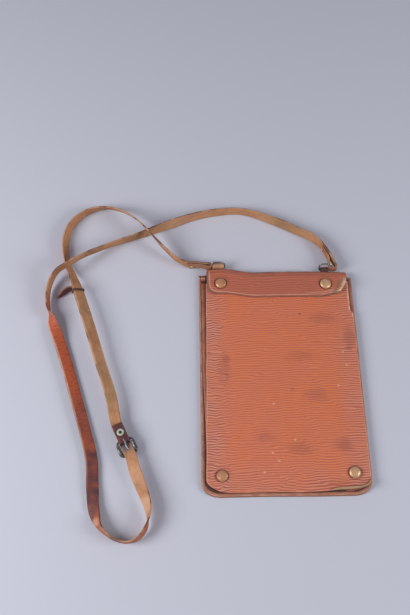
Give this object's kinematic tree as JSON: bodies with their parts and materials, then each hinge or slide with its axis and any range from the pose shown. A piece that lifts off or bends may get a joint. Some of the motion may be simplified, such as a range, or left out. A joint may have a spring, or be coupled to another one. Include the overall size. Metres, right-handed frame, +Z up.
{
  "type": "map case",
  "caption": "Flat leather map case with ribbed cover, narrow snapped flap and a buckled shoulder strap, lying on its back with the strap looped beside it.",
  "frame": {"origin": "centre of the case body's underside, on the floor that it lies on", "axes": "+Z up out of the front cover, +Y along the case towards the folded flap, +X to the right seen from the front"},
  "size_m": [0.3851, 0.4371, 0.0282],
  "materials": {
    "ribbed_leather": "worn embossed leather, satin",
    "inner_leather": "plain worn leather, matte",
    "strap_leather": "worn strap leather, rough on its flesh side",
    "worn_iron": "dark iron wire, worn bright in places",
    "worn_brass": "copper-coloured brass, tarnished"
  },
  "bodies": {
    "root": {"back_and_flap": "ribbed_leather", "front_cover": "ribbed_leather", "edge_welt": "inner_leather", "pocket_front": "inner_leather", "strap_long": "strap_leather", "strap_short": "strap_leather", "strap_keeper": "strap_leather", "chape_left": "strap_leather", "chape_right": "strap_leather", "ring_left": "worn_iron", "ring_right": "worn_iron", "buckle_frame": "worn_iron", "buckle_prong": "worn_iron", "chape_eyelet": "worn_brass", "strap_rivet_left": "worn_brass", "strap_rivet_right": "worn_brass", "snap_upper_left": "worn_brass", "snap_upper_right": "worn_brass", "snap_lower_left": "worn_brass", "snap_lower_right": "worn_brass"}
  },
  "joints": []
}
